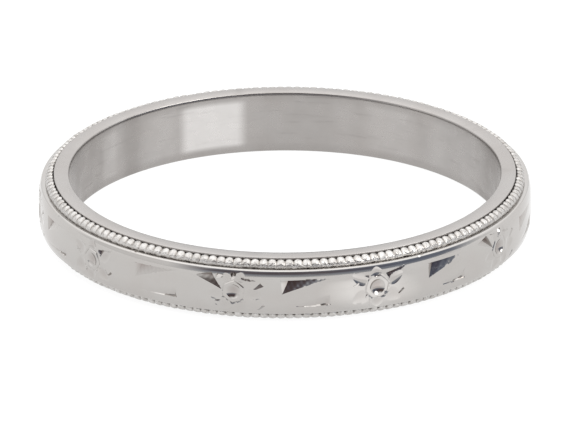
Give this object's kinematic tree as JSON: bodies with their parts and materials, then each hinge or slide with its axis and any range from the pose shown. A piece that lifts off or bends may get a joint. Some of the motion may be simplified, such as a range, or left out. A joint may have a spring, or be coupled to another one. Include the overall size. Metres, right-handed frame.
{
  "type": "engraved wedding band",
  "caption": "Slim white-metal wedding band with a plain round bore, flat rims, beaded edges and a belt engraved with leaves and blossoms.",
  "frame": {"origin": "on the bore's axis, in the plane of the lower rim, which is what the ring lies on", "axes": "+Z along the bore's axis, from the lower rim to the upper rim; -Y is the front, the side nearest the viewer"},
  "size_m": [0.0194, 0.0194, 0.0025],
  "materials": {
    "polished_sleeve": "white gold with a soft hand polish and fine wear scratches",
    "bright_cut_belt": "white gold, polished, with bright graver cuts",
    "beaded_wire": "white gold, burnished bead crests with darker hollows between them"
  },
  "bodies": {
    "root": {"inner_sleeve": "polished_sleeve", "engraved_belt": "bright_cut_belt", "upper_milgrain_wire": "beaded_wire", "lower_milgrain_wire": "beaded_wire"}
  },
  "joints": []
}
